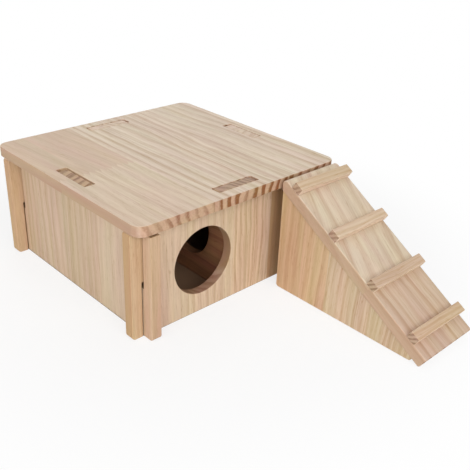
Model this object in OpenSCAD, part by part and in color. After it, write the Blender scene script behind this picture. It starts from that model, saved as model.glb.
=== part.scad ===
// Small-animal house of pine boards with a lift-off roof and a loose climbing ramp.
// Four wall boards cross at the corners in half-laps and carry the roof on their tabs.
// Origin: middle of the house on the floor. +X right along the front, +Y to the back, +Z up.

/* [House] */
// Width of the roof board, side to side
house_w = 200; // [170:1:240]
// Depth of the roof board, front to back
house_d = 196; // [170:1:240]
// Height of the wall boards without their tabs
wall_h = 86; // [74:0.5:110]
// Thickness of the house's boards
board_t = 8.5; // [6:0.5:12]
// How far the roof reaches past the outer face of the walls
roof_overhang = 10; // [6:0.5:16]
// How far each wall's ends stand out past the wall that they cross
wall_end = 10; // [5:0.5:16]
// Radius of the roof's corners, seen from above
roof_corner_r = 9; // [3:0.5:18]
// Radius of the wall boards' corners
wall_corner_r = 3; // [1:0.5:4]

/* [Corner laps] */
// Play on each side of a board in its lap slot
lap_play = 0.7; // [0.3:0.1:1.2]
// How far each lap slot is cut past half the wall's height
lap_relief = 2.5; // [0.5:0.5:5]

/* [Roof tabs] */
// Length of the tab on top of each wall
tab_len = 37; // [20:1:60]
// How far the tabs' tops stay below the roof's top
tab_sink = 0.8; // [0:0.1:2]
// Radius of the tabs' upper corners
tab_corner_r = 2; // [0.5:0.5:4]
// Play at each end of a tab in its roof slot
tab_end_play = 1.5; // [0.5:0.1:3]
// Play on each side of a tab in its roof slot
tab_side_play = 0.4; // [0.2:0.1:0.8]

/* [Doorways] */
// Diameter of the round doorways in the front wall and in the partition
door_d = 55; // [40:0.5:58]
// Distance of the front doorway from the middle of the front wall
front_door_off = 34; // [32:0.5:40]
// Distance of the partition's doorway from the middle of the partition
inner_door_off = 34; // [20:0.5:45]

/* [Partition] */
// Depth of the grooves that hold the partition in the front and back walls
groove_depth = 3; // [1.5:0.5:4]
// Play around the partition in its grooves, and below the roof
groove_play = 0.3; // [0.2:0.1:0.6]

/* [Ramp] */
// Width of the ramp's sloping board
ramp_w = 60; // [45:1:85]
// Thickness of the ramp's sloping board
ramp_board_t = 10; // [7:0.5:14]
// Length of the ramp's side boards on the floor
ramp_run = 138; // [110:1:180]
// Thickness of the ramp's side boards
ramp_side_t = 8.5; // [6:0.5:12]
// How far the sloping board reaches past the side boards' outer faces
ramp_lip = 1.4; // [0:0.2:4]
// How far the sloping board reaches past the side boards' back edges
ramp_top_out = 2; // [0:0.5:2]
// Gap between the roof's front edge and the side boards' back edges
ramp_gap = 2.5; // [2.5:0.5:20]
// Distance from the roof's right edge to the sloping board's right edge
ramp_from_right = 6.9; // [0:0.1:40]
// Radius of the sloping board's end corners
ramp_end_r = 1.5; // [0.5:0.5:3]
// Radius of the side boards' corners
ramp_side_r = 2.5; // [1:0.5:4]

/* [Rungs] */
// Width of a rung along the slope
rung_w = 8.2; // [5:0.2:12]
// Height of a rung above the sloping board
rung_h = 6.7; // [4:0.1:10]
// Distance from the sloping board's top end to the first rung
rung_first = 7.5; // [4:0.5:20]
// Distance from the last rung to the sloping board's lower end
rung_last = 13.5; // [8:0.5:30]
// Radius of the rungs' edges
rung_r = 0.7; // [0.3:0.1:1.5]

/* [Hidden] */
$fn = 96;

pine = "#d6bd98";
pine_light = "#dccaae";
pine_gold = "#cda676";
rung_count = 4;
// Cutters run this far past the faces that they cut
over = 1;

// Walls: the outer faces lie inside the roof's edge
wall_x = house_w / 2 - roof_overhang;
wall_y = house_d / 2 - roof_overhang;
front_len = 2 * (wall_x + wall_end);
side_len = 2 * (wall_y + wall_end);
lap_slot_w = board_t + 2 * lap_play;
lap_slot_h = wall_h / 2 + lap_relief;
lap_x = wall_x - board_t / 2;
lap_y = wall_y - board_t / 2;

// Roof slots follow the tabs
tab_h = board_t - tab_sink;
slot_len = tab_len + 2 * tab_end_play;
slot_w = board_t + 2 * tab_side_play;

// Partition between the front and back walls
door_z = wall_h / 2;
groove_w = board_t + 2 * groove_play;
partition_len = 2 * (wall_y - board_t + groove_depth - groove_play);
partition_h = wall_h - groove_play;

// Ramp: its side boards are as high as the walls, so that it ends level with the roof
ramp_rise = wall_h;
slope = atan(ramp_rise / ramp_run);
ramp_y = -house_d / 2 - ramp_gap;
ramp_right = house_w / 2 - ramp_from_right;
ramp_left = ramp_right - ramp_w;
// Distance down the slope at which the board's rounded lower corner just meets the floor
slope_end = ramp_end_r + (ramp_rise - ramp_end_r * (1 - cos(slope))) / sin(slope);
ramp_board_len = ramp_top_out + slope_end;
rung_pitch = (ramp_board_len - rung_first - rung_last - rung_w) / (rung_count - 1);

// Corner rounding: unit vector, half angle, tangent length and centre at corner i
function unit(v) = v / norm(v);
function to_prev(p, i) = unit(p[(i + len(p) - 1) % len(p)] - p[i]);
function to_next(p, i) = unit(p[(i + 1) % len(p)] - p[i]);
function half_angle(p, i) = acos(to_prev(p, i) * to_next(p, i)) / 2;
function round_centre(p, i, r) =
    p[i] + unit(to_prev(p, i) + to_next(p, i)) * r / sin(half_angle(p, i));

// Outline through convex corners p, each rounded to radius r
module rounded_outline(p, r) {
    polygon([
        for (i = [0 : len(p) - 1])
            each [
                p[i] + to_prev(p, i) * r / tan(half_angle(p, i)),
                p[i] + to_next(p, i) * r / tan(half_angle(p, i))
            ]
    ]);
    for (i = [0 : len(p) - 1])
        translate(round_centre(p, i, r))
            circle(r = r);
}

function rectangle(w, h, x = 0, y = 0) = [[x, y], [x + w, y], [x + w, y + h], [x, y + h]];

// A wall's outline, standing on the floor and centred left to right, with its tab
module wall_outline(length) {
    rounded_outline(rectangle(length, wall_h, -length / 2), wall_corner_r);
    rounded_outline(
        rectangle(tab_len, tab_h + wall_h / 4, -tab_len / 2, wall_h * 3 / 4),
        tab_corner_r
    );
}

// Lap slots of one wall: cut from the floor up, or from the top edge down
module lap_slots(at, from_top) {
    bottom = from_top ? wall_h - lap_slot_h : -over;
    for (side = [-1, 1])
        translate([side * at - lap_slot_w / 2, bottom])
            square([lap_slot_w, lap_slot_h + over]);
}

// Stands an outline up as a board along X, its front face at y
module board_along_x(y) {
    translate([0, y + board_t, 0])
        rotate([90, 0, 0])
            linear_extrude(board_t)
                children();
}

// Stands an outline up as a board along Y, its left face at x
module board_along_y(x, thickness) {
    translate([x, 0, 0])
        rotate([90, 0, 90])
            linear_extrude(thickness)
                children();
}

// Groove for the partition in the inner face, at y, of a wall along X; it is cut towards
// into (1 or -1) and runs from the floor to the wall's top edge, below the tab
module partition_groove(y, into) {
    y_low = into > 0 ? y - over : y - groove_depth;
    translate([-groove_w / 2, y_low, -over])
        cube([groove_w, groove_depth + over, wall_h + over]);
}

module front_wall() {
    color(pine)
        difference() {
            board_along_x(-wall_y)
                difference() {
                    wall_outline(front_len);
                    lap_slots(lap_x, false);
                    translate([-front_door_off, door_z])
                        circle(d = door_d);
                }
            partition_groove(-wall_y + board_t, -1);
        }
}

module back_wall() {
    color(pine)
        difference() {
            board_along_x(wall_y - board_t)
                difference() {
                    wall_outline(front_len);
                    lap_slots(lap_x, false);
                }
            partition_groove(wall_y - board_t, 1);
        }
}

// Left and right walls are alike: their laps are cut from the top
module side_wall(x) {
    color(pine)
        board_along_y(x, board_t)
            difference() {
                wall_outline(side_len);
                lap_slots(lap_y, true);
            }
}

module partition() {
    color(pine)
        board_along_y(-board_t / 2, board_t)
            difference() {
                translate([-partition_len / 2, 0])
                    square([partition_len, partition_h]);
                translate([-inner_door_off, door_z])
                    circle(d = door_d);
            }
}

module roof_slot(x, y, along_x) {
    size = along_x ? [slot_len, slot_w] : [slot_w, slot_len];
    translate([x, y])
        square(size, center = true);
}

module roof() {
    color(pine_light)
        translate([0, 0, wall_h])
            linear_extrude(board_t)
                difference() {
                    rounded_outline(
                        rectangle(house_w, house_d, -house_w / 2, -house_d / 2),
                        roof_corner_r
                    );
                    for (side = [-1, 1]) {
                        roof_slot(0, side * lap_y, true);
                        roof_slot(side * lap_x, 0, false);
                    }
                }
}

// Ramp outlines are drawn down the run (first axis) and up (second axis),
// with the side boards' back edge at 0, and then stand at x and reach to the front
module ramp_piece(x, width) {
    translate([x + width, ramp_y, 0])
        rotate([90, 0, -90])
            linear_extrude(width)
                children();
}

// Puts an outline on the sloping board: first axis down the slope from the top corner
// of the side boards, second axis square to it
module on_slope() {
    translate([0, ramp_rise])
        rotate(-slope)
            children();
}

module ramp_board() {
    color(pine_light)
        ramp_piece(ramp_left, ramp_w)
            on_slope()
                rounded_outline(
                    rectangle(ramp_board_len, ramp_board_t, -ramp_top_out),
                    ramp_end_r
                );
}

module ramp_side(x) {
    color(pine_gold)
        ramp_piece(x, ramp_side_t)
            rounded_outline([[0, 0], [ramp_run, 0], [0, ramp_rise]], ramp_side_r);
}

module rung(index) {
    color(pine)
        ramp_piece(ramp_left, ramp_w)
            on_slope()
                rounded_outline(
                    rectangle(
                        rung_w, rung_h,
                        -ramp_top_out + rung_first + index * rung_pitch, ramp_board_t
                    ),
                    rung_r
                );
}

roof();
front_wall();
back_wall();
side_wall(-wall_x);  // left_wall
side_wall(wall_x - board_t);  // right_wall
partition();
ramp_board();
ramp_side(ramp_left + ramp_lip);  // ramp_left_side
ramp_side(ramp_right - ramp_lip - ramp_side_t);  // ramp_right_side
for (i = [0 : rung_count - 1])
    rung(i);
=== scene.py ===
# %% [markdown]
# # A plug-together house of pine boards, with a climbing ramp
# The real object is a small shelter for a pet, about 20 cm square: four wall boards that cross
# at the corners, a partition with a second doorway, a roof board that drops over four tabs, and
# a loose ramp with four rungs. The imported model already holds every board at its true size.
# Here each board gets the eased edges and the pine that the eye looks for.

# %% Load the frame
from collections import namedtuple
from math import atan2, copysign, cos, pi, radians, sin

import bmesh
import bpy
from mathutils import Matrix, Vector


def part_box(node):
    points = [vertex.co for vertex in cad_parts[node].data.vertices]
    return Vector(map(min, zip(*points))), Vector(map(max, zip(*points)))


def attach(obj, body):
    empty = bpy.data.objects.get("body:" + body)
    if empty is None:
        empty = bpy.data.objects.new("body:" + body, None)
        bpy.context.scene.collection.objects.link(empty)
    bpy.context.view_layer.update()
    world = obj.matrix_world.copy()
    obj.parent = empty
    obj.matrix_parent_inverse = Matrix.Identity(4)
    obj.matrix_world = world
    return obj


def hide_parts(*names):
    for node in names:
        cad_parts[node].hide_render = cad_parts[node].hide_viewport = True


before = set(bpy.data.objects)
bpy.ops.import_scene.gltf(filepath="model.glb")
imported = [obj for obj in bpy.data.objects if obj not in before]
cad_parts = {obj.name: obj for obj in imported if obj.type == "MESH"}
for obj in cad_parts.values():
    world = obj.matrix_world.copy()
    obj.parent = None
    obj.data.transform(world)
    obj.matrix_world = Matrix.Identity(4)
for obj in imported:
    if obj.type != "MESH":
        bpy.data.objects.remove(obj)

MM = 0.001
RIGHT, BACK, UP = Vector((1, 0, 0)), Vector((0, 1, 0)), Vector((0, 0, 1))

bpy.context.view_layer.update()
print("boards:", ", ".join(sorted(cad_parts)))

# %% [markdown]
# ## The camera
# The photograph was taken from the left of the doorway, a little above the roof, with the
# camera tipped slightly. Its place and lens were found once by fitting the straight edges of
# the boards, so they are plain values here. Turning a camera by azimuth, elevation and roll
# keeps each of them readable, where a single matrix would hide them.

# %% Camera
CAMERA_PLACE = Vector((-334.7, -429.2, 303.7)) * MM
CAMERA_AZIMUTH = radians(-44.23)
CAMERA_ELEVATION = radians(27.68)
CAMERA_ROLL = radians(2.46)
CAMERA_LENS = 53.72
CAMERA_SENSOR = 36.0
CAMERA_CLIP = 10 * MM

camera_data = bpy.data.cameras.new("camera")
camera_data.sensor_width = CAMERA_SENSOR
camera_data.lens = CAMERA_LENS
camera_data.clip_start = CAMERA_CLIP
camera = bpy.data.objects.new("camera", camera_data)
bpy.context.scene.collection.objects.link(camera)
camera.matrix_world = (
    Matrix.Translation(CAMERA_PLACE)
    @ Matrix.Rotation(CAMERA_AZIMUTH, 4, "Z")
    @ Matrix.Rotation(pi / 2 - CAMERA_ELEVATION, 4, "X")
    @ Matrix.Rotation(CAMERA_ROLL, 4, "Z")
)
bpy.context.scene.camera = camera
print("camera stands", round(CAMERA_PLACE.length, 3), "m from the middle of the house")

# %% [markdown]
# ## Two small helpers
# Shader and geometry trees are the same kind of thing: nodes with inputs. One helper adds a
# node, sets its options, and fills its inputs in order (or by name) with a value, a socket or
# another node. Colours are written as sRGB hex, the way a colour picker shows them, and one
# function turns them into the linear numbers that a shader works with.

# %% Node and colour helpers
def add(tree, kind, inputs=(), **settings):
    node = tree.nodes.new(kind)
    for name, value in settings.items():
        setattr(node, name, value)
    usable = [socket for socket in node.inputs if socket.enabled]
    named = {socket.name: socket for socket in reversed(usable)}
    pairs = inputs.items() if isinstance(inputs, dict) else enumerate(inputs)
    for key, value in pairs:
        socket = usable[key] if isinstance(key, int) else named[key]
        if isinstance(value, bpy.types.Node):
            value = next(out for out in value.outputs if out.enabled)
        if isinstance(value, bpy.types.NodeSocket):
            tree.links.new(value, socket)
        else:
            socket.default_value = value
    return node


def colour(hex_code):
    parts = [int(hex_code[i : i + 2], 16) / 255 for i in (1, 3, 5)]
    linear = [c / 12.92 if c <= 0.04045 else ((c + 0.055) / 1.055) ** 2.4 for c in parts]
    return (*linear, 1.0)


print("a mid grey, #808080, is", round(colour("#808080")[0], 3), "in linear light")

# %% [markdown]
# ## Boards with eased edges
# A sawn board is never sold with razor edges: a pass of sandpaper takes them down by about
# half a millimetre, and that thin facet is what catches the light along every board. The
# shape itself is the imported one, so a copy of it is the surest start. It arrives as loose
# triangles, so the copy is merged and its flat faces are joined before a Bevel modifier
# rounds each sharp edge. Hardened normals keep the flat faces flat right up to the rounding.

# %% Boards copied from the frame
EASED_EDGE = 0.6 * MM
EDGE_SEGMENTS = 3
MERGE_WITHIN = 0.001 * MM
FLAT_ANGLE = radians(0.5)
SHARP_ANGLE = radians(30)


def ease_edges(piece, width):
    bevel = piece.modifiers.new("eased_edges", "BEVEL")
    bevel.width = width
    bevel.segments = EDGE_SEGMENTS
    bevel.limit_method = "ANGLE"
    bevel.angle_limit = SHARP_ANGLE
    bevel.use_clamp_overlap = False
    bevel.harden_normals = True


def join_flat_faces(shape):
    bmesh.ops.remove_doubles(shape, verts=shape.verts, dist=MERGE_WITHIN)
    bmesh.ops.dissolve_limit(
        shape, angle_limit=FLAT_ANGLE, verts=shape.verts, edges=shape.edges
    )


def finish_mesh(mesh, reshapes=()):
    """Joins the loose triangles, makes the small changes, and turns every face outwards."""
    shape = bmesh.new()
    shape.from_mesh(mesh)
    join_flat_faces(shape)
    for reshape in reshapes:
        reshape(shape)
        join_flat_faces(shape)
    bmesh.ops.recalc_face_normals(shape, faces=shape.faces)
    for face in shape.faces:
        face.smooth = True
    clean = bpy.data.meshes.new(mesh.name)
    shape.to_mesh(clean)
    shape.free()
    clean.set_sharp_from_angle(angle=SHARP_ANGLE)
    return clean


def board(name, node, body, reshapes=(), edge=EASED_EDGE):
    mesh = finish_mesh(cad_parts[node].data, reshapes)
    piece = bpy.data.objects.new(name, mesh)
    bpy.context.scene.collection.objects.link(piece)
    ease_edges(piece, edge)
    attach(piece, body)
    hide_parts(node)
    print(name, "has", len(mesh.polygons), "flat faces before its edges are eased")
    return piece


# %% [markdown]
# The ramp lies on a slope, so its sizes and its grain are easier to tell along the slope and
# square to it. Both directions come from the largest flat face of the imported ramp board, and
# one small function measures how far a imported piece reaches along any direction.

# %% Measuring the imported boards
def reach(node, direction):
    """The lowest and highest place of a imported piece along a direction, in metres."""
    spots = [vertex.co.dot(direction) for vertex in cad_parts[node].data.vertices]
    return min(spots), max(spots)


slope_face = max(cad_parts["ramp_board"].data.polygons, key=lambda face: face.area)
slope_up = slope_face.normal * (1 if slope_face.normal.z > 0 else -1)
uphill = slope_up.cross(RIGHT)
slope_angle = uphill.angle(BACK)
roof_low, roof_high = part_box("roof")
print("slope rises at", round(slope_angle * 180 / pi, 2), "degrees")

# %% [markdown]
# A few spots of the real boards differ from the drawing by a millimetre or two. Three of the
# tabs stand level with the roof's top, and the far two fill more of their slots. The side
# walls' lap slots leave a free finger of wood at each upper end, which stops short of the
# roof, so a dark crack shows above the near one. The inner doorway sits a little further back
# and higher. Only a few corners move each time, so they are moved in the copied mesh.

# %% Small changes to the walls
TAB_SINK = 0.15 * MM
TAB_LENGTHENED = 0.8 * MM
LONGEST_HALF_TAB = 30 * MM
FINGER_GAP = 1.6 * MM
DOORWAY_SHIFT = Vector((0, 2.2, 1.2)) * MM


def raise_tab(shape):
    tab = [vertex for vertex in shape.verts if vertex.co.z > roof_low.z + MM]
    rise = roof_high.z - TAB_SINK - max(vertex.co.z for vertex in tab)
    for vertex in tab:
        vertex.co.z += rise


def lengthen_tab(shape):
    for vertex in shape.verts:
        if vertex.co.z > roof_low.z - MERGE_WITHIN:
            for axis in (0, 1):
                if abs(vertex.co[axis]) < LONGEST_HALF_TAB:
                    vertex.co[axis] += copysign(TAB_LENGTHENED, vertex.co[axis])


def shorten_fingers(shape):
    half_length = max(vertex.co.y for vertex in shape.verts)
    straight_up_to = max(vertex.co.z for vertex in shape.verts
                         if vertex.co.y > half_length - MERGE_WITHIN)
    lap_starts = abs(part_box("front_wall")[0].y)
    for vertex in shape.verts:
        spot = vertex.co
        if abs(spot.y) > lap_starts and spot.z > straight_up_to + MERGE_WITHIN:
            if spot.z < roof_low.z - MERGE_WITHIN:
                spot.y = half_length if spot.y > 0 else -half_length
            spot.z = roof_low.z - FINGER_GAP


def shift_doorway(shape):
    low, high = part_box("partition")
    for vertex in shape.verts:
        spot = vertex.co
        if low.y + MM < spot.y < high.y - MM and low.z + MM < spot.z < high.z - MM:
            vertex.co += DOORWAY_SHIFT


print("tabs stand", round(TAB_SINK / MM, 2), "mm below the roof's top")

# %% [markdown]
# The ramp board ends level with the roof. Its end is cut plumb, in line with the back edges of
# the side boards, and rounded over at the top, and the side boards run up to a point below it.
# The copied board is square there, with a small rounding of its own. Turning each point of
# that rounding further round, about a new middle, gives the plumb end with no new faces.

# %% Small changes to the ramp
RAMP_END_RADIUS = 3.8 * MM

plumb_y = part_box("ramp_left_side")[1].y
under_slope, over_slope = reach("ramp_board", slope_up)


def height_on_slope(y, off_slope):
    """The height at y of a plane that lies parallel to the slope, off_slope along slope_up."""
    return (off_slope - y * slope_up.y) / slope_up.z


def cut_end_plumb(shape):
    flat_to = max(vertex.co.dot(uphill) for vertex in shape.verts
                  if vertex.co.dot(slope_up) > over_slope - MERGE_WITHIN)
    old_radius = max(vertex.co.dot(uphill) for vertex in shape.verts) - flat_to
    middle_y = plumb_y - RAMP_END_RADIUS
    middle_z = height_on_slope(middle_y, over_slope - RAMP_END_RADIUS)
    for vertex in shape.verts:
        past = vertex.co.dot(uphill) - flat_to
        off_slope = vertex.co.dot(slope_up)
        if past < -MERGE_WITHIN:
            continue
        if off_slope < under_slope + old_radius + MERGE_WITHIN:
            vertex.co.yz = plumb_y, height_on_slope(plumb_y, under_slope)
            continue
        turned = atan2(past, off_slope - over_slope + old_radius)
        turned = turned * (1 + slope_angle / (pi / 2)) - slope_angle
        vertex.co.yz = (middle_y + RAMP_END_RADIUS * sin(turned),
                        middle_z + RAMP_END_RADIUS * cos(turned))


def run_to_a_point(shape):
    straight_to = max(vertex.co.z for vertex in shape.verts
                      if vertex.co.y > plumb_y - MERGE_WITHIN)
    for vertex in shape.verts:
        if vertex.co.z > straight_to - MERGE_WITHIN:
            vertex.co.yz = plumb_y, height_on_slope(plumb_y, under_slope)


print("ramp ends plumb", round((roof_low.y - plumb_y) / MM, 2), "mm in front of the roof")

# %% [markdown]
# Now each board is copied, changed where it needs it, and given its body to move with. The
# ramp board's edges are sanded rounder than the rest, because small feet climb over them.

# %% The boards
RAMP_BOARD_EDGE = 1.3 * MM

walls = {
    node: board(node + "_board", node, "house", reshapes)
    for node, reshapes in (
        ("front_wall", [raise_tab]),
        ("back_wall", [raise_tab, lengthen_tab]),
        ("left_wall", [shorten_fingers]),
        ("right_wall", [raise_tab, lengthen_tab, shorten_fingers]),
    )
}
partition = board("partition_board", "partition", "house", [shift_doorway])
slope_board = board("ramp_slope_board", "ramp_board", "ramp", [cut_end_plumb], RAMP_BOARD_EDGE)
ramp_sides = [
    board(node + "_board", node, "ramp", [run_to_a_point])
    for node in ("ramp_left_side", "ramp_right_side")
]

# %% [markdown]
# ## Shapes grown from a rule
# The roof and the row of rungs each follow a simple rule, and a rule suits Geometry Nodes,
# because every size stays a named input. A tree is run once, on an empty mesh, and its result
# is kept as a plain mesh. So the finished piece carries no tree, and its edges are eased in
# the same way as those of the copied boards.

# %% Building and running a tree
def new_tree(name, inputs):
    tree = bpy.data.node_groups.new(name, "GeometryNodeTree")
    for label, kind in inputs.items():
        tree.interface.new_socket(label, in_out="INPUT", socket_type="NodeSocket" + kind)
    tree.interface.new_socket("Geometry", in_out="OUTPUT", socket_type="NodeSocketGeometry")
    return tree


def grow(name, tree, values):
    """Runs a tree with its inputs set by identifier, and keeps the result as a plain mesh."""
    seed_mesh = bpy.data.meshes.new(name + "_start")
    maker = bpy.data.objects.new(name + "_maker", seed_mesh)
    bpy.context.scene.collection.objects.link(maker)
    modifier = maker.modifiers.new("tree", "NODES")
    modifier.node_group = tree
    for item in tree.interface.items_tree:
        if item.in_out == "INPUT":
            modifier[item.identifier] = values[item.name]
    ready = maker.evaluated_get(bpy.context.evaluated_depsgraph_get())
    mesh = bpy.data.meshes.new_from_object(ready)
    maker.modifiers.remove(modifier)
    bpy.data.objects.remove(maker)
    mesh.name = name
    print(name, "grown by", len(tree.nodes), "nodes, with", len(mesh.polygons), "faces")
    return mesh


# %% [markdown]
# The roof is a rectangle with rounded corners, less one slot over the middle of each wall. An
# even-odd fill of the outline and the four slots gives the flat shape in one step, with no
# Boolean that could leave stray faces, and an extrusion gives it the board's thickness.

# %% Roof tree
ROOF_CORNER_STEPS = 16
SLOT_CORNER_STEPS = 4


def roof_tree():
    tree = new_tree("roof_board_tree", {
        "Width": "Float", "Depth": "Float", "Thickness": "Float", "Corner Radius": "Float",
        "Slot Length": "Float", "Slot Width": "Float", "Slot Radius": "Float",
        "Front Slot": "Float", "Side Slot": "Float", "Underside": "Float",
        "Wood": "Material",
    })
    size = add(tree, "NodeGroupInput").outputs
    outline = add(tree, "GeometryNodeCurvePrimitiveQuadrilateral", (size["Width"], size["Depth"]))
    rounded = add(
        tree, "GeometryNodeFilletCurve",
        {"Curve": outline, "Count": ROOF_CORNER_STEPS, "Radius": size["Corner Radius"]},
        mode="POLY",
    )
    join = add(tree, "GeometryNodeJoinGeometry", (rounded,))
    for length, width, shift in (
        ("Slot Length", "Slot Width", (None, size["Front Slot"])),
        ("Slot Width", "Slot Length", (size["Side Slot"], None)),
    ):
        slot = add(
            tree, "GeometryNodeCurvePrimitiveQuadrilateral", (size[length], size[width])
        )
        eased = add(
            tree, "GeometryNodeFilletCurve",
            {"Curve": slot, "Count": SLOT_CORNER_STEPS, "Radius": size["Slot Radius"]},
            mode="POLY",
        )
        place = add(tree, "ShaderNodeCombineXYZ", {
            axis: value for axis, value in zip("XY", shift) if value is not None
        })
        for side in (1, -1):
            spot = add(tree, "ShaderNodeVectorMath", (place, (side, side, side)),
                       operation="MULTIPLY")
            moved = add(tree, "GeometryNodeTransform", {"Geometry": eased, "Translation": spot})
            tree.links.new(moved.outputs[0], join.inputs[0])
    flat = add(tree, "GeometryNodeFillCurve", (join,), mode="NGONS")
    rise = add(tree, "ShaderNodeCombineXYZ", {"Z": size["Thickness"]})
    top = add(
        tree, "GeometryNodeExtrudeMesh",
        {"Mesh": flat, "Offset": rise, "Offset Scale": 1.0, "Individual": False}, mode="FACES",
    )
    under = add(tree, "GeometryNodeFlipFaces", (flat,))
    solid = add(tree, "GeometryNodeJoinGeometry", (top,))
    tree.links.new(under.outputs[0], solid.inputs[0])
    closed = add(tree, "GeometryNodeMergeByDistance", {"Geometry": solid, "Distance": MERGE_WITHIN})
    height = add(tree, "ShaderNodeCombineXYZ", {"Z": size["Underside"]})
    placed = add(tree, "GeometryNodeTransform", {"Geometry": closed, "Translation": height})
    real = add(tree, "GeometryNodeRealizeInstances", (placed,))
    clad = add(tree, "GeometryNodeSetMaterial", {"Geometry": real, "Material": size["Wood"]})
    add(tree, "NodeGroupOutput", (clad,))
    return tree


# %% [markdown]
# The tree only knows the rule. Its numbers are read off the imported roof's own corner points:
# where the straight front edge stops gives the corner radius, and the points inside the
# outline give the slots. So the visible roof always fits the boards below it.

# %% Roof sizes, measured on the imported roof
SLOT_CORNER = 0.8 * MM

roof_points = [vertex.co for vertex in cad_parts["roof"].data.vertices]
front_edge = [p for p in roof_points if p.y < roof_low.y + MERGE_WITHIN]
roof_corner = roof_high.x - max(p.x for p in front_edge)
inside = [p for p in roof_points
          if abs(p.x) < roof_high.x - roof_corner and abs(p.y) < roof_high.y - MM]
front_slot = [p for p in inside if p.y < -roof_high.y / 2 and abs(p.x) < roof_high.x / 2]
side_slot = [p for p in inside if p.x < -roof_high.x / 2 and abs(p.y) < roof_high.y / 2]
slot_length = 2 * max(p.x for p in front_slot)
slot_width = max(p.y for p in front_slot) - min(p.y for p in front_slot)
print("roof corner radius in mm:", round(roof_corner / MM, 2))
tab_line_front = (max(p.y for p in front_slot) + min(p.y for p in front_slot)) / 2
tab_line_side = (max(p.x for p in side_slot) + min(p.x for p in side_slot)) / 2
print("slots in mm:", round(slot_length / MM, 2), "by", round(slot_width / MM, 2))

# %% [markdown]
# The rungs are four equal strips set square across the slope at an equal pitch, so a second
# tree makes one strip and repeats it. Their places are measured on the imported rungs, along
# the slope and square to it.

# %% Rung tree
RUNG_CORNER_STEPS = 5


def rung_tree():
    tree = new_tree("rung_tree", {
        "Rungs": "Int", "First": "Float", "Pitch": "Float", "Above": "Float", "Left": "Float",
        "Length": "Float", "Width": "Float", "Height": "Float", "Edge Radius": "Float",
        "Wood": "Material",
    })
    size = add(tree, "NodeGroupInput").outputs
    section = add(
        tree, "GeometryNodeCurvePrimitiveQuadrilateral", (size["Width"], size["Height"])
    )
    eased = add(
        tree, "GeometryNodeFilletCurve",
        {"Curve": section, "Count": RUNG_CORNER_STEPS, "Radius": size["Edge Radius"]},
        mode="POLY",
    )
    far_end = add(tree, "ShaderNodeCombineXYZ", {"X": size["Length"]})
    length = add(tree, "GeometryNodeCurvePrimitiveLine", {"End": far_end})
    strip = add(
        tree, "GeometryNodeCurveToMesh",
        {"Curve": length, "Profile Curve": eased, "Fill Caps": True},
    )
    start = add(tree, "ShaderNodeCombineXYZ", (size["Left"], size["First"], size["Above"]))
    step = add(tree, "ShaderNodeCombineXYZ", {"Y": size["Pitch"]})
    row = add(
        tree, "GeometryNodeMeshLine",
        {"Count": size["Rungs"], "Start Location": start, "Offset": step},
    )
    strips = add(tree, "GeometryNodeInstanceOnPoints", {"Points": row, "Instance": strip})
    real = add(tree, "GeometryNodeRealizeInstances", (strips,))
    clad = add(tree, "GeometryNodeSetMaterial", {"Geometry": real, "Material": size["Wood"]})
    add(tree, "NodeGroupOutput", (clad,))
    return tree


# %% [markdown]
# ## Pine
# Pine is pale and soft: each year it lays down a wide pale band of early wood and a thin
# darker band of late wood. Along the grain those bands read as lines a few millimetres
# apart. Where the board is cut across, they read as brown bars, and the open ends of the
# fibres look darker and duller. One solid pattern that runs right through the board gives
# both at once, so the lines on a face meet the bars on its end, as they do in real wood.
#
# Boards this wide are glued up from narrow staves, and long staves are themselves joined end
# to end with small fingers. So each board is written down as its joiner would: stave by
# stave, with the tint, the spacing of the rings, their slant and how strongly they show.

# %% What a stave is
Stave = namedtuple("Stave", "left tint pitch slant line right start", defaults=(None, None))

FINGER_PITCH = 5.0
FINGER_LENGTH = 6.0
print("finger joints: teeth", FINGER_PITCH, "mm wide and", FINGER_LENGTH, "mm long")


def stave_mask(tree, across, along, stave):
    """1 inside the stave, 0 outside: past its left edge, and inside a joined length of it."""
    mask = add(tree, "ShaderNodeMath", (across, stave.left), operation="GREATER_THAN")
    if stave.right is None:
        return mask
    before = add(tree, "ShaderNodeMath", (across, stave.right), operation="LESS_THAN")
    tooth = add(tree, "ShaderNodeMath", (across, FINGER_PITCH / 2), operation="PINGPONG")
    joint = add(
        tree, "ShaderNodeMath", (tooth, 2 * FINGER_LENGTH / FINGER_PITCH, stave.start),
        operation="MULTIPLY_ADD",
    )
    beyond = add(tree, "ShaderNodeMath", (along, joint), operation="GREATER_THAN")
    between = add(tree, "ShaderNodeMath", (mask, before), operation="MULTIPLY")
    return add(tree, "ShaderNodeMath", (between, beyond), operation="MULTIPLY")


def glue_up(tree, axes, staves, seed):
    """The tint, the manner (rings per mm, slant, strength) and the number of each stave."""
    first, *others = staves
    tint, manner, number = colour(first.tint), (1 / first.pitch, first.slant, first.line), seed
    for stave in others:
        here = stave_mask(tree, axes["X"], axes["Z"], stave)
        manner = add(tree, "ShaderNodeMix",
                     (here, manner, (1 / stave.pitch, stave.slant, stave.line)),
                     data_type="VECTOR")
        tint = add(tree, "ShaderNodeMix", (here, tint, colour(stave.tint)), data_type="RGBA")
        number = add(tree, "ShaderNodeMath", (here, number), operation="ADD")
    return tint, manner, number


# %% [markdown]
# The pattern starts from the place in the board, in millimetres across it, through its
# thickness and along its grain. A slow wander bends the rings, a lean tips them as they pass
# through the board, and a fan lets the lean change from one side to the other, as it does
# where the board was sawn across the round of the trunk.

# %% Where the rings run
WANDER_SIZE = (50.0, 50.0, 200.0)
RIPPLE_SIZE = (13.0, 13.0, 55.0)
RIPPLE = 1.1
NOISE_ROUGHNESS = 0.55
# Nearly all values of a noise lie in the first span, and its bulk in the second
NOISE_LOW, NOISE_HIGH = 0.25, 0.75
BULK_LOW, BULK_HIGH = 0.3, 0.7
# A face counts as cut across when its normal is this close to the direction (as a cosine)
CUT_BEGINS, CUT_FULL = 0.6, 0.85


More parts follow.
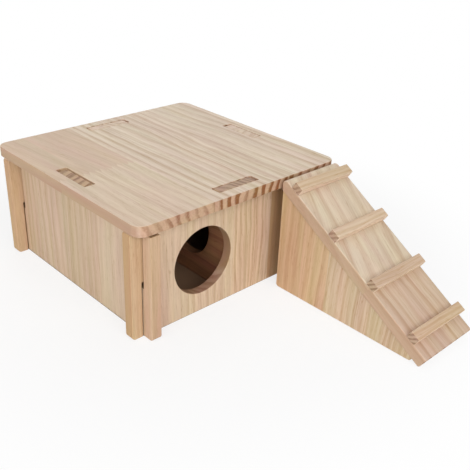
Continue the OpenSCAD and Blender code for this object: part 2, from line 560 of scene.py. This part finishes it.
def board_axes(tree, node, across_board, through_board):
    """The place in the board in mm, its thickness counted from the middle, and two masks."""
    grain = across_board.cross(through_board)
    middle = sum(reach(node, through_board)) / 2 / MM
    turn = Matrix((across_board, through_board, grain)).to_euler("XYZ")
    place = add(tree, "ShaderNodeTexCoord")
    in_mm = add(tree, "ShaderNodeVectorMath", (place.outputs["Object"], (1 / MM,) * 3),
                operation="MULTIPLY")
    turned = add(tree, "ShaderNodeVectorRotate", {"Vector": in_mm, "Rotation": turn},
                 rotation_type="EULER_XYZ")
    spot = add(tree, "ShaderNodeVectorMath", (turned, (0, middle, 0)), operation="SUBTRACT")
    cuts = []
    for direction in (grain, across_board):
        facing = add(tree, "ShaderNodeVectorMath", (place.outputs["Normal"], direction),
                     operation="DOT_PRODUCT")
        either = add(tree, "ShaderNodeMath", (facing.outputs["Value"],), operation="ABSOLUTE")
        cuts.append(add(tree, "ShaderNodeMapRange",
                        {"Value": either, "From Min": CUT_BEGINS, "From Max": CUT_FULL}))
    return spot, cuts


def spread(tree, spot, sizes, shift=(0, 0, 0), detail=1.0):
    """Noise whose lumps have the given sizes in mm: across, through and along the board."""
    scale = tuple(1 / size for size in sizes)
    where = add(tree, "ShaderNodeVectorMath", (spot, scale, shift), operation="MULTIPLY_ADD")
    return add(tree, "ShaderNodeTexNoise", (where, 1.0, detail, NOISE_ROUGHNESS))


def wavy_place(tree, spot, own, slant, lean, fan, wander):
    """How far across the board a ring is, once its bends are taken out, in mm."""
    axes = add(tree, "ShaderNodeSeparateXYZ", (spot,)).outputs
    bend = add(tree, "ShaderNodeMapRange", {
        "Value": spread(tree, spot, WANDER_SIZE, own),
        "From Min": NOISE_LOW, "From Max": NOISE_HIGH, "To Min": -wander, "To Max": wander,
    }, clamp=False)
    ripple = add(tree, "ShaderNodeMapRange", {
        "Value": spread(tree, spot, RIPPLE_SIZE, own),
        "From Min": NOISE_LOW, "From Max": NOISE_HIGH, "To Min": -RIPPLE, "To Max": RIPPLE,
    }, clamp=False)
    bent = add(tree, "ShaderNodeMath", (bend, ripple), operation="ADD")
    bent = add(tree, "ShaderNodeMath", (bent, axes["X"]), operation="ADD")
    tip = add(tree, "ShaderNodeMath", (axes["X"], fan, lean), operation="MULTIPLY_ADD")
    bent = add(tree, "ShaderNodeMath", (axes["Y"], tip, bent), operation="MULTIPLY_ADD")
    return add(tree, "ShaderNodeMath", (axes["Z"], slant, bent), operation="MULTIPLY_ADD")


print("rings bend over lengths of", WANDER_SIZE[2], "mm and ripple over", RIPPLE_SIZE[2], "mm")

# %% [markdown]
# A year's ring is not a plain stripe: the wood darkens slowly through the summer and ends
# crisply, so a colour ramp draws one year. No two years are alike, so each gets a strength
# of its own from its number. A second, closer set of weaker rings fills the space between,
# and a few veins stand where the real boards show one strong brown line.

# %% Rings and veins
# Part of the year, and how dark the wood is then
SEASONS = ((0.0, 0.05), (0.3, 0.18), (0.56, 0.7), (0.8, 1.0), (0.92, 0.45), (1.0, 0.05))
print("a ring's colour ramp has", len(SEASONS), "stops")


def rings(tree, wavy, per_mm, number, count, least):
    """Late wood of one set of rings: 1 at the end of a strong year, close to 0 in spring."""
    ring = add(tree, "ShaderNodeMath", (wavy, per_mm), operation="MULTIPLY")
    ring = add(tree, "ShaderNodeMath", (ring, count, number), operation="MULTIPLY_ADD")
    year = add(tree, "ShaderNodeMath", (ring,), operation="FLOOR")
    strength = add(tree, "ShaderNodeMapRange", {
        "Value": add(tree, "ShaderNodeTexWhiteNoise", (year,), noise_dimensions="1D"),
        "To Min": least, "To Max": 1.0,
    })
    season = add(tree, "ShaderNodeValToRGB",
                 (add(tree, "ShaderNodeMath", (ring,), operation="FRACT"),))
    stops = season.color_ramp.elements
    for stop, (spot, level) in zip((stops[0], stops[1]), (SEASONS[0], SEASONS[-1])):
        stop.position = spot
        stop.color = (level, level, level, 1)
    for spot, level in SEASONS[1:-1]:
        stops.new(spot).color = (level, level, level, 1)
    return add(tree, "ShaderNodeMath", (season, strength), operation="MULTIPLY")


def with_veins(tree, wavy, dark, veins):
    """Adds single strong lines, each given by its place, half width and depth."""
    for spot, width, depth in veins:
        off = add(tree, "ShaderNodeMath", (wavy, spot), operation="SUBTRACT")
        off = add(tree, "ShaderNodeMath", (off,), operation="ABSOLUTE")
        vein = add(tree, "ShaderNodeMapRange",
                   {"Value": off, "From Max": width, "To Min": depth, "To Max": 0.0},
                   interpolation_type="SMOOTHSTEP")
        dark = add(tree, "ShaderNodeMath", (vein, dark), operation="MAXIMUM")
    return dark


# %% [markdown]
# Between the rings the wood still isn't plain. It shows fibres, short resin flecks, and slow
# clouds of tone and hue from one part of the board to the next. Real fibres are a tenth of a
# millimetre wide, too fine to show, so they are drawn about ten times coarser. Fibres and
# flecks follow the rings, so they take the rings' own place, with its bends taken out.

# %% Fibres, flecks and clouds
FIBRE_SIZE, STREAK = (1.0, 1.0, 26.0), (-0.18, 0.22)
FLECK_SIZE, FLECK_SPAN, FLECK_DEPTH = (0.9, 0.9, 6.0), (0.6, 0.75), 0.26
CLOUD_SIZE, TONE, HUE = (13.0, 13.0, 90.0), (0.955, 1.045), (0.489, 0.51)


def fibres_and_flecks(tree, wavy, axes):
    """The fibres, and the shift towards the late wood's colour that they and flecks give."""
    flow = add(tree, "ShaderNodeCombineXYZ", (wavy, axes["Y"], axes["Z"]))
    fibre = spread(tree, flow, FIBRE_SIZE, detail=3.0)
    streak = add(tree, "ShaderNodeMapRange", {
        "Value": fibre, "From Min": BULK_LOW, "From Max": BULK_HIGH,
        "To Min": STREAK[0], "To Max": STREAK[1],
    })
    fleck = add(tree, "ShaderNodeMapRange", {
        "Value": spread(tree, flow, FLECK_SIZE),
        "From Min": FLECK_SPAN[0], "From Max": FLECK_SPAN[1], "To Max": FLECK_DEPTH,
    })
    return fibre, add(tree, "ShaderNodeMath", (streak, fleck), operation="ADD")


def clouded(tree, spot, own, wood):
    """The wood's colour under slow clouds of tone and hue."""
    clouds = add(tree, "ShaderNodeSeparateXYZ", (spread(tree, spot, CLOUD_SIZE, own).outputs[1],))
    tone = add(tree, "ShaderNodeMapRange", {
        "Value": clouds.outputs["X"], "From Min": BULK_LOW, "From Max": BULK_HIGH,
        "To Min": TONE[0], "To Max": TONE[1],
    })
    hue = add(tree, "ShaderNodeMapRange", {
        "Value": clouds.outputs["Y"], "From Min": BULK_LOW, "From Max": BULK_HIGH,
        "To Min": HUE[0], "To Max": HUE[1],
    })
    return add(tree, "ShaderNodeHueSaturation", {"Hue": hue, "Value": tone, "Color": wood})


print("a fibre is drawn", FIBRE_SIZE[0], "mm wide and", FIBRE_SIZE[2], "mm long")

# %% [markdown]
# Then the colours. A planed face shows the stave's tint with soft lines. A sawn long edge
# is a little darker and warmer. An end cut swallows light, so it is darkest, its bars are
# strong, and it is mottled by open pores. The wood is only sanded, without any varnish, so
# it is rough, with the ordinary IOR of wood, and its relief is a few hundredths of a mm.

# %% Pine from its rings, fibres and staves
STRONG_LEAST, WEAK_LEAST = 0.5, 0.1
WEAK_PER_STRONG = 2.7
SAWN_LINES = 0.8
BAR_CRISP, BAR_POWER = (0.2, 0.6), 1.5
PORE_SIZE, PORE = (1.6, 1.6, 8.0), (-0.14, 0.2)
RELIEF = 0.05 * MM
RING_RELIEF, RELIEF_STRENGTH = 0.6, 0.5
SANDED_ROUGHNESS = 0.62
WOOD_IOR = 1.45


def pine(name, node, across_board, through_board, staves, late, edge, end, bar,
         lean=0.3, fan=0.0, wander=3.0, veins=(), lines=0.5, closer=0.6, seed=0):
    material = bpy.data.materials.new(name)
    material.use_nodes = True
    tree = material.node_tree
    tree.nodes.clear()
    spot, (end_cut, edge_cut) = board_axes(tree, node, across_board, through_board)
    axes = add(tree, "ShaderNodeSeparateXYZ", (spot,)).outputs

    tint, manner, number = glue_up(tree, axes, staves, seed)
    per_mm, slant, line = add(tree, "ShaderNodeSeparateXYZ", (manner,)).outputs
    own = add(tree, "ShaderNodeTexWhiteNoise", (number,), noise_dimensions="1D").outputs["Color"]

    wavy = wavy_place(tree, spot, own, slant, lean, fan, wander)
    strong_rings = rings(tree, wavy, per_mm, number, 1.0, STRONG_LEAST)
    late_wood = with_veins(tree, wavy, strong_rings, veins)
    strong = add(tree, "ShaderNodeMath", (late_wood, line), operation="MULTIPLY")
    weak = rings(tree, wavy, per_mm, number, WEAK_PER_STRONG, WEAK_LEAST)
    weak = add(tree, "ShaderNodeMath", (weak, line), operation="MULTIPLY")
    weak = add(tree, "ShaderNodeMath", (weak, closer), operation="MULTIPLY")
    dark = add(tree, "ShaderNodeMath", (strong, weak), operation="MAXIMUM")
    crisp = add(tree, "ShaderNodeMapRange",
                {"Value": late_wood, "From Min": BAR_CRISP[0], "From Max": BAR_CRISP[1]})
    bar_line = add(tree, "ShaderNodeMath", (line, BAR_POWER), operation="POWER")
    bars = add(tree, "ShaderNodeMath", (crisp, bar_line), operation="MULTIPLY")

    # Planed face, sawn edge and end cut
    fibre, mark = fibres_and_flecks(tree, wavy, axes)
    face_dark = add(tree, "ShaderNodeMath", (dark, lines, mark), operation="MULTIPLY_ADD",
                    use_clamp=True)
    face = add(tree, "ShaderNodeMix", (face_dark, tint, colour(late)), data_type="RGBA")
    edge_dark = add(tree, "ShaderNodeMath", (dark, SAWN_LINES * lines, mark),
                    operation="MULTIPLY_ADD", use_clamp=True)
    sawn = add(tree, "ShaderNodeMix", (edge_dark, colour(edge), colour(late)), data_type="RGBA")
    pore = add(tree, "ShaderNodeMapRange", {
        "Value": spread(tree, spot, PORE_SIZE, detail=2.0),
        "From Min": BULK_LOW, "From Max": BULK_HIGH, "To Min": PORE[0], "To Max": PORE[1],
    })
    cut_dark = add(tree, "ShaderNodeMath", (bars, pore), operation="ADD", use_clamp=True)
    cut = add(tree, "ShaderNodeMix", (cut_dark, colour(end), colour(bar)), data_type="RGBA")
    wood = add(tree, "ShaderNodeMix", (edge_cut, face, sawn), data_type="RGBA")
    wood = add(tree, "ShaderNodeMix", (end_cut, wood, cut), data_type="RGBA")

    # Clouds, relief and the surface itself
    wood = clouded(tree, spot, own, wood)
    relief = add(tree, "ShaderNodeMath", (dark, RING_RELIEF, fibre), operation="MULTIPLY_ADD")
    bump = add(tree, "ShaderNodeBump",
               {"Strength": RELIEF_STRENGTH, "Distance": RELIEF, "Height": relief})
    surface = add(tree, "ShaderNodeBsdfPrincipled", {
        "Base Color": wood, "Roughness": SANDED_ROUGHNESS, "IOR": WOOD_IOR, "Normal": bump,
    })
    add(tree, "ShaderNodeOutputMaterial", {"Surface": surface})
    print(name, "is glued up from", len(staves), "lengths of wood")
    return material


# %% [markdown]
# Now the boards are written down, stave by stave from left to right, with a joined length
# last. The roof's grain runs from front to back. A pinker length is let into its left half,
# joined with fingers that show as small teeth.

# %% The roof's finish
roof_pine = pine(
    "sanded_pine_roof_grain_front_to_back", "roof", RIGHT, -UP,
    staves=(
        Stave(-101, "#d9c4ad", 9, 0.0, 0.5),
        Stave(-76, "#dbc7b0", 8, 0.02, 0.75),
        Stave(-33, "#e0cfbb", 8.6, 0.0, 1.0),
        Stave(42, "#e0cfbb", 9.4, 0.01, 0.9),
        Stave(-101, "#d2b9a2", 9, 0.1, 0.5, right=-34, start=-4),
    ),
    late="#b3926c", edge="#bb9a80", end="#c9a88a", bar="#895831",
    lean=0.0, fan=0.006, wander=3.0, veins=((-28, 1.6, 1.0), (-20.5, 1.2, 0.9)),
    lines=0.66, seed=3,
)

# %% [markdown]
# The walls' grain stands upright. The front wall's staves are used twice: for the planed
# board, and for the rim of its doorway, which gets a redder pine with stronger lines.
# Each of the near walls ends in a darker stave. On the front wall that stave stands by the
# ramp, and its tint is darker and redder than the wood alone: partly a real stave, partly
# painted shade where the ramp shades the wall.

# %% The near walls' finishes
front_wood = {
    "staves": (
        Stave(-101, "#d1b790", 4, 0.0, 0.7),
        Stave(-87, "#dfc5a9", 6, 0.06, 0.4),
        Stave(-62, "#dcc5a9", 7, 0.02, 0.7),
        Stave(-4, "#ddc3a6", 4.2, 0.02, 0.9),
        # Partly painted shade: darker and redder than its wood, for the ramp's shade on the wall
        Stave(36, "#c29b74", 5, 0.0, 0.6),
    ),
    "late": "#a87e55", "lean": 0.4, "wander": 3.5, "closer": 0.45,
    "veins": ((-78, 1.5, 0.8), (18, 1.4, 0.9)), "seed": 11,
}
front_pine = pine(
    "sanded_pine_front_wall_upright_grain", "front_wall", RIGHT, BACK,
    edge="#bd9870", end="#b3947c", bar="#85664f", lines=0.62, **front_wood,
)
# A redder copy of the front wall's pine, with stronger lines, for the doorway's rim
doorway_pine = pine(
    "hole_sawn_pine_doorway_rim", "front_wall", RIGHT, BACK,
    edge="#ab846a", end="#b28c73", bar="#93694f", lines=0.9, **front_wood,
)
left_pine = pine(
    "sanded_pine_left_wall_upright_grain", "left_wall", BACK, -RIGHT,
    staves=(
        Stave(-99, "#ceb094", 5, 0.0, 0.6),
        Stave(-88, "#d4bda3", 8, 0.01, 0.4),
        Stave(-34, "#cfb79c", 7.5, 0.01, 0.85),
        Stave(10, "#cfb79e", 8.5, -0.01, 0.8),
        Stave(56, "#cdb499", 7, 0.0, 0.75),
        Stave(80, "#c29f75", 6, 0.0, 0.5),
    ),
    late="#a9885f", edge="#ccab8c", end="#bd9d7b", bar="#80593a",
    lean=0.45, wander=2.5, veins=((8, 1.2, 1.0), (38, 1.0, 0.7)), lines=0.65, seed=23,
)

# %% [markdown]
# The far walls get plain staves of the same stock, with fainter lines. The partition's grain
# lies level, and its pine is painted a dark red-brown: painted shade for the dim light
# between the walls.

# %% The far walls' and the partition's finishes
back_pine = pine(
    "sanded_pine_back_wall_upright_grain", "back_wall", RIGHT, BACK,
    staves=(
        Stave(-101, "#cfb18f", 6, 0.02, 0.5),
        Stave(-58, "#d2b696", 8.5, -0.02, 0.45),
        Stave(-6, "#cdae8b", 5, 0.0, 0.7),
        Stave(41, "#d1b494", 7, 0.03, 0.5),
    ),
    late="#a87e55", edge="#c39f78", end="#dcc5b0", bar="#b8977c",
    wander=4.0, veins=((-24, 1.3, 0.8), (63, 1.4, 0.7)), lines=0.42, seed=71,
)
right_pine = pine(
    "sanded_pine_right_wall_upright_grain", "right_wall", BACK, -RIGHT,
    staves=(
        Stave(-99, "#ccae8b", 6, 0.0, 0.5),
        Stave(-47, "#cfb595", 8, 0.03, 0.6),
        Stave(3, "#ceb69c", 9, 0.0, 0.4),
        Stave(52, "#cdb18f", 6.5, -0.02, 0.6),
    ),
    late="#a9885f", edge="#c39f78", end="#dcc6b1", bar="#b99a7c",
    wander=3.5, veins=((-12, 1.2, 0.8), (70, 1.3, 0.7)), lines=0.42, seed=83,
)
# Painted shade: this pine is drawn a dark red-brown, darker than the other boards, for the dim
# light between the walls
partition_pine = pine(
    "sanded_pine_partition_level_grain_painted_shade", "partition", UP, RIGHT,
    staves=(
        Stave(-1, "#a87554", 9, 0.0, 0.9),
        Stave(44, "#ab7957", 7.5, 0.03, 0.8),
    ),
    late="#74432b", edge="#a87b58", end="#a0784f", bar="#6f472a",
    wander=4.0, lines=0.6, seed=31,
)

# %% [markdown]
# The ramp's sides are golden pine with close, upright rings, and two lengths of wood meet
# under the third rung of its sloping board: a cream one with slanting lines above, and a
# pinker one with straight lines below. The board and the rungs lie on the slope, so their
# grain follows the directions that were measured on it.

# %% The ramp's finishes
side_pine = pine(
    "sanded_golden_pine_ramp_sides_upright_grain", "ramp_left_side", BACK, -RIGHT,
    staves=(
        Stave(-240, "#cfb99b", 4.6, 0.06, 0.8),
        Stave(-192, "#d6c0a3", 5.4, 0.05, 0.75),
        Stave(-151, "#d3b491", 7.0, 0.03, 0.8),
        Stave(-125, "#cfb08b", 8.2, 0.0, 0.8),
    ),
    late="#ab7f50", edge="#c8a47c", end="#c2a07a", bar="#8d6038",
    wander=4.0, veins=((-181, 1.2, 0.8), (-141, 1.4, 0.9)), lines=0.66, seed=41,
)

HIDDEN_JOINT = 98.0

slope_left = reach("ramp_board", RIGHT)[0] / MM
slope_top = reach("ramp_board", -uphill)[0] / MM
slope_pine = pine(
    "sanded_pine_ramp_board_grain_down_the_slope", "ramp_board", RIGHT, slope_up,
    staves=(
        Stave(slope_left - 1, "#dac9b1", 13, 0.3, 0.7),
        Stave(slope_left - 1, "#d0b8a1", 9, 0.0, 1.0,
              right=slope_left + 100, start=slope_top + HIDDEN_JOINT),
    ),
    late="#b0896a", edge="#c4a88c", end="#c5a588", bar="#8d6038",
    lean=1.0, wander=4.0, lines=0.72, closer=0.35, seed=53,
)

RUNG_TINTS = ("#cfb698", "#cfb59e", "#d7c0a7", "#d2bb9d")
RUNG_LINES = (0.9, 1.1, 0.8, 0.8)

first_low, first_high = reach("rung_1", uphill)
last_low = reach("rung_4", uphill)[0]
rung_pitch = (first_low - last_low) / (len(RUNG_TINTS) - 1)
rung_pine = pine(
    "sanded_pine_rungs_grain_lengthwise", "rung_1", uphill, slope_up,
    staves=[
        Stave((last_low - rung_pitch / 2 + number * rung_pitch) / MM, tint, 3.6, 0.03, line)
        for number, (tint, line) in enumerate(zip(RUNG_TINTS, RUNG_LINES))
    ],
    late="#b38c60", edge="#eed7be", end="#bca086", bar="#93745a",
    lean=0.6, wander=1.2, lines=0.6, seed=61,
)


# %% [markdown]
# The rung tree is run once with the measured sizes. It lays the rungs out flat, with the slope
# as its ground, and one matrix then tips the whole row onto the ramp.

# %% The rungs, measured and laid
RUNG_CORNER = 0.7 * MM
RUNG_EASED_EDGE = 0.4 * MM

rung_nodes = ["rung_" + str(number + 1) for number in range(len(RUNG_TINTS))]
rung_under, rung_over = reach("rung_1", slope_up)
rung_left, rung_right = reach("rung_1", RIGHT)
rung_mesh = grow("rungs", rung_tree(), {
    "Rungs": len(rung_nodes), "First": (first_low + first_high) / 2, "Pitch": -rung_pitch,
    "Above": (rung_under + rung_over) / 2, "Left": rung_left, "Length": rung_right - rung_left,
    "Width": first_high - first_low, "Height": rung_over - rung_under,
    "Edge Radius": RUNG_CORNER, "Wood": rung_pine,
})
rung_mesh.transform(Matrix((RIGHT, uphill, slope_up)).transposed().to_4x4())
print("rungs stand", round(rung_pitch / MM, 2), "mm apart")


def new_piece(name, mesh, edge, body, nodes):
    clean = finish_mesh(mesh)
    for material in mesh.materials:
        clean.materials.append(material)
    piece = bpy.data.objects.new(name, clean)
    bpy.context.scene.collection.objects.link(piece)
    ease_edges(piece, edge)
    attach(piece, body)
    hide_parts(*nodes)
    return piece


rungs = new_piece("rungs", rung_mesh, RUNG_EASED_EDGE, "ramp", rung_nodes)

# %% [markdown]
# The roof is grown in the same way. A fillet in its tree rounds the corners seen from above,
# and the Bevel modifier on the finished piece eases the long edges, as on every other board.

# %% The roof, grown from its measured sizes
roof_mesh = grow("roof_board", roof_tree(), {
    "Width": roof_high.x - roof_low.x, "Depth": roof_high.y - roof_low.y,
    "Thickness": roof_high.z - roof_low.z, "Underside": roof_low.z,
    "Corner Radius": roof_corner, "Slot Length": slot_length, "Slot Width": slot_width,
    "Slot Radius": SLOT_CORNER, "Front Slot": tab_line_front, "Side Slot": tab_line_side,
    "Wood": roof_pine,
})
roof = new_piece("roof_board", roof_mesh, EASED_EDGE, "roof", ["roof"])

# %% [markdown]
# Each copied board gets its pine. The rim of the front doorway was cut with a hole saw. Its
# facets, found by their place and direction, get a second slot with a redder pine.

# %% Dress the boards
RIM_TILT = 0.1

partition_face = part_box("partition")[0].x
for piece, wood, slot in (
    (walls["front_wall"], front_pine, "wall_pine"),
    (walls["back_wall"], back_pine, "wall_pine"),
    (walls["left_wall"], left_pine, "wall_pine"),
    (walls["right_wall"], right_pine, "wall_pine"),
    (partition, partition_pine, "partition_pine"),
    (slope_board, slope_pine, "ramp_board_pine"),
    (ramp_sides[0], side_pine, "ramp_side_pine"),
    (ramp_sides[1], side_pine, "ramp_side_pine"),
):
    piece.data.materials.append(wood)

wall_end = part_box("left_wall")[1].x
walls["front_wall"].data.materials.append(doorway_pine)
rim = [face for face in walls["front_wall"].data.polygons
       if abs(face.normal.y) < RIM_TILT and wall_end < face.center.x < partition_face - MM
       and MM < face.center.z < roof_low.z - MM]
for face in rim:
    face.material_index = 1
print("the doorway's rim has", len(rim), "facets")

# %% [markdown]
# ## Floor and light
# The object stands on a plain white floor under large soft lamps, so that every face is lit
# about evenly and only the gaps go dark. To the camera the floor is a white of strength 1.
# Near the object a share of its real, lit surface is mixed in, which keeps a soft shadow,
# and between the walls only the lit surface shows, in a darker, warmer colour: painted shade
# for the dim light bounced off pine in there. So the inside of the house stays dark.

# %% Floor
FLOOR_SIZE = 6.0
FLOOR_DROP = 0.05 * MM
SHADOW_SHARE = 0.25
SHADOW_FADE = (0.16, 0.34)
LIT_FLOOR = "#f7f7f7"
# Painted shade: between the walls the floor is drawn darker and warmer than its white
PAINTED_INDOOR_SHADE = "#8c7059"


def seen_directly(tree):
    """1 for a ray from the camera, a reflection or through glass, 0 for one that lights."""
    path = add(tree, "ShaderNodeLightPath").outputs
    seen = add(tree, "ShaderNodeMath",
               (path["Is Camera Ray"], path["Is Glossy Ray"]), operation="ADD")
    return add(tree, "ShaderNodeMath", (seen, path["Is Transmission Ray"]), operation="ADD",
               use_clamp=True)


def floor_material(house_size):
    material = bpy.data.materials.new("matt_white_studio_floor")
    material.use_nodes = True
    tree = material.node_tree
    tree.nodes.clear()
    place = add(tree, "ShaderNodeTexCoord").outputs["Object"]
    near = add(tree, "ShaderNodeMapRange", {
        "Value": add(tree, "ShaderNodeVectorMath", (place,), operation="LENGTH").outputs[1],
        "From Min": SHADOW_FADE[0], "From Max": SHADOW_FADE[1],
        "To Min": SHADOW_SHARE, "To Max": 0.0,
    }, interpolation_type="SMOOTHSTEP")
    off = add(tree, "ShaderNodeVectorMath", (place,), operation="ABSOLUTE")
    axes = add(tree, "ShaderNodeSeparateXYZ", (off,)).outputs
    inside = [
        add(tree, "ShaderNodeMath", (axis, size / 2), operation="LESS_THAN")
        for axis, size in zip(axes, house_size)
    ]
    indoors = add(tree, "ShaderNodeMath", inside, operation="MULTIPLY")
    real = add(tree, "ShaderNodeMath", (near, indoors), operation="MAXIMUM")
    bare = add(tree, "ShaderNodeMath", (1.0, real), operation="SUBTRACT")
    white_share = add(tree, "ShaderNodeMath", (seen_directly(tree), bare), operation="MULTIPLY")
    # Painted shade: the floor's colour between the walls stands in for the dim light there
    shade = add(tree, "ShaderNodeMix", (indoors, colour(LIT_FLOOR), colour(PAINTED_INDOOR_SHADE)),
                data_type="RGBA")
    lit = add(tree, "ShaderNodeBsdfDiffuse", {"Color": shade})
    white = add(tree, "ShaderNodeEmission", {"Color": colour("#ffffff"), "Strength": 1.0})
    mix = add(tree, "ShaderNodeMixShader", (white_share, lit, white))
    add(tree, "ShaderNodeOutputMaterial", {"Surface": mix})
    return material


floor_mesh = bpy.data.meshes.new("floor")
half = FLOOR_SIZE / 2
corners = [(x * half, y * half, -FLOOR_DROP) for x, y in ((-1, -1), (1, -1), (1, 1), (-1, 1))]
floor_mesh.from_pydata(corners, [], [(0, 1, 2, 3)])
between_walls = (2 * reach("left_wall", -RIGHT)[1], 2 * reach("front_wall", -BACK)[1])
floor_mesh.materials.append(floor_material(between_walls))
floor = bpy.data.objects.new("floor", floor_mesh)
bpy.context.scene.collection.objects.link(floor)
print("floor is", FLOOR_SIZE, "m wide, shaded near and between the walls")

# %% [markdown]
# Four large square lamps stand well away from the house: the bigger the lamp, the softer its
# shadow. A spot lamp or a sun would draw hard shadows that the photograph doesn't have. The
# world is white to the camera and only a quarter as strong for the light that it sheds.

# %% Lamps and surroundings
def lamp(name, place, size, watts):
    data = bpy.data.lights.new(name, "AREA")
    data.shape = "SQUARE"
    data.size = size
    data.energy = watts
    light = bpy.data.objects.new(name, data)
    bpy.context.scene.collection.objects.link(light)
    light.location = place
    light.rotation_mode = "QUATERNION"
    light.rotation_quaternion = Vector(place).to_track_quat("Z", "Y")
    print(name, "gives", watts, "W from", size, "m across")


lamp("overhead_softbox", place=(0.1, 0.1, 1.6), size=1.4, watts=5.5)
lamp("back_softbox", place=(0.9, 1.5, 0.8), size=1.2, watts=6)
lamp("left_softbox", place=(-1.5, -0.5, 0.8), size=1.2, watts=13.5)
lamp("front_softbox", place=(-0.4, -1.5, 1.0), size=1.2, watts=14)

WORLD_STRENGTH = 0.25

world = bpy.data.worlds.new("pale_room")
world.use_nodes = True
bpy.context.scene.world = world
world_tree = world.node_tree
world_tree.nodes.clear()
world_level = add(world_tree, "ShaderNodeMapRange", {
    "Value": seen_directly(world_tree), "To Min": WORLD_STRENGTH, "To Max": 1.0,
})
world_light = add(world_tree, "ShaderNodeBackground",
                  {"Color": colour("#ffffff"), "Strength": world_level})
add(world_tree, "ShaderNodeOutputWorld", {"Surface": world_light})
bpy.context.scene.view_settings.view_transform = "Standard"
